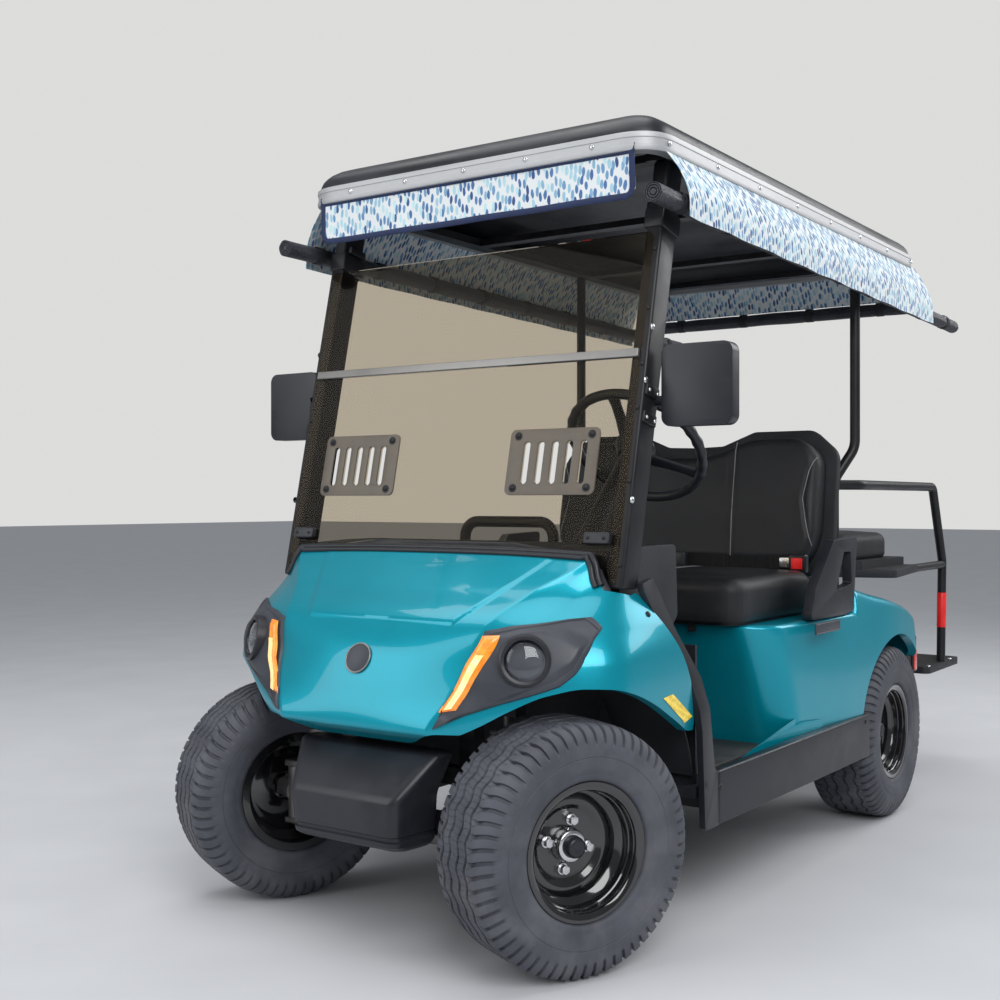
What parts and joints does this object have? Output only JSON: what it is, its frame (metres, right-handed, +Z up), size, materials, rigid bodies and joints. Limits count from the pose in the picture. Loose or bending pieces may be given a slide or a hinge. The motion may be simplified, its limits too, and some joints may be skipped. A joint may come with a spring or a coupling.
{
  "type": "golf cart",
  "caption": "Two-row golf cart with teal body panels, canopy with fabric valances and rolled curtains, folding rear-facing seat, tinted windshield and off-road wheels.",
  "frame": {"origin": "on the ground under the middle of the bounding box", "axes": "+X points forward along the cart, +Y to its left side, +Z up"},
  "size_m": [2.8878, 1.368, 1.86],
  "materials": {
    "teal_panels": "pearl teal clear coat",
    "black_moulding": "fine texture",
    "gloss_black_steel": "gloss powder coat",
    "charcoal_moulding": "satin charcoal",
    "tyre_rubber": "treaded rubber",
    "mat_rubber": "ribbed mat",
    "silver_rail": "brushed drip rail",
    "canvas": "white canvas with blue dabs",
    "curtain": "rolled dark curtain",
    "webbing": "woven belts with a red buckle",
    "vinyl": "grained black vinyl",
    "bronze_sheet": "bronze tinted clear sheet",
    "bronze_plate": "tan vent plates",
    "lamp_lens": "clear lens",
    "amber_lens": "amber marker lens",
    "red_lens": "red lens",
    "mirror_face": "mirror glass",
    "cast_steel": "dull cast parts",
    "engine_grey": "plain block"
  },
  "bodies": {
    "cart": {"cowl_trim": "black_moulding", "curtain_rolls": "curtain", "dash_hoop": "gloss_black_steel", "dashboard": "black_moulding", "engine_block": "engine_grey", "fender_liners": "black_moulding", "fender_straps": "black_moulding", "floor_mat": "mat_rubber", "floor_pan": "black_moulding", "footplate": "black_moulding", "frame_rails": "gloss_black_steel", "front_axle": "cast_steel", "front_bumper": "black_moulding", "front_cowl": "teal_panels", "front_shocks": "cast_steel", "headlamps": "lamp_lens", "hip_restraints": "black_moulding", "lamp_bezels": "charcoal_moulding", "marker_lamps": "amber_lens", "mirror_glass": "mirror_face", "mirrors": "black_moulding", "pedals": "black_moulding", "rear_axle": "cast_steel", "rear_backrest": "vinyl", "rear_body": "teal_panels", "rear_deck": "black_moulding", "rear_frame": "gloss_black_steel", "rockers": "black_moulding", "roof_frame": "gloss_black_steel", "roof_gutter": "silver_rail", "roof_struts_front": "gloss_black_steel", "roof_struts_rear": "gloss_black_steel", "roof_top": "black_moulding", "seat_back": "vinyl", "seat_back_frame": "gloss_black_steel", "seat_back_shell": "black_moulding", "seat_belts": "webbing", "steering_column": "black_moulding", "tail_lamps": "red_lens", "valance_ends": "canvas", "valance_sides": "canvas", "windshield_clips": "black_moulding", "windshield_panes": "bronze_sheet", "windshield_rail": "silver_rail", "windshield_vents": "bronze_plate"},
    "hand_wheel": {"steering_wheel": "black_moulding"},
    "left_knuckle": {"knuckle_left": "cast_steel"},
    "right_knuckle": {"knuckle_right": "cast_steel"},
    "front_left_wheel": {"tyre_front_left": "tyre_rubber", "wheel_front_left": "gloss_black_steel"},
    "front_right_wheel": {"tyre_front_right": "tyre_rubber", "wheel_front_right": "gloss_black_steel"},
    "rear_left_wheel": {"tyre_rear_left": "tyre_rubber", "wheel_rear_left": "gloss_black_steel"},
    "rear_right_wheel": {"tyre_rear_right": "tyre_rubber", "wheel_rear_right": "gloss_black_steel"},
    "front_seat": {"seat_pan": "black_moulding", "seat_cushion": "vinyl"},
    "rear_seat": {"rear_seat_board": "black_moulding", "rear_seat_cushion": "vinyl"}
  },
  "joints": [
    {"name": "steer_left", "type": "hinge", "parent": "cart", "child": "left_knuckle", "pos_m": [1.1461, 0.36, 0.26], "axis": [0, 0, 1], "range_deg": [-5, 55]},
    {"name": "steer_right", "type": "hinge", "parent": "cart", "child": "right_knuckle", "pos_m": [1.1461, -0.36, 0.26], "axis": [0, 0, 1], "range_deg": [-5, 55]},
    {"name": "steering_wheel_turn", "type": "hinge", "parent": "cart", "child": "hand_wheel", "pos_m": [0.5621, 0.26, 1.105], "axis": [-0.7193, 0, 0.6947], "range_deg": [-60, 660]},
    {"name": "roll_front_left", "type": "hinge", "parent": "left_knuckle", "child": "front_left_wheel", "pos_m": [1.1778, 0.42797, 0.26], "axis": [0.4226, 0.9063, 0], "continuous": true},
    {"name": "roll_front_right", "type": "hinge", "parent": "right_knuckle", "child": "front_right_wheel", "pos_m": [1.1144, -0.42797, 0.26], "axis": [0.4226, 0.9063, 0], "continuous": true},
    {"name": "roll_rear_left", "type": "hinge", "parent": "cart", "child": "rear_left_wheel", "pos_m": [-0.4939, 0.49, 0.26], "axis": [0, 1, 0], "continuous": true},
    {"name": "roll_rear_right", "type": "hinge", "parent": "cart", "child": "rear_right_wheel", "pos_m": [-0.4939, -0.49, 0.26], "axis": [0, 1, 0], "continuous": true},
    {"name": "seat_tilt", "type": "hinge", "parent": "cart", "child": "front_seat", "pos_m": [0.3701, 0, 0.631], "axis": [0, 1, 0], "range_deg": [0, 60]},
    {"name": "rear_seat_flip", "type": "hinge", "parent": "cart", "child": "rear_seat", "pos_m": [-0.9539, 0, 0.738], "axis": [0, -1, 0], "range_deg": [0, 180]}
  ],
  "couplings": [
    {"joint": "steer_right", "follows": "steer_left", "ratio": 1},
    {"joint": "steering_wheel_turn", "follows": "steer_left", "ratio": 12}
  ]
}
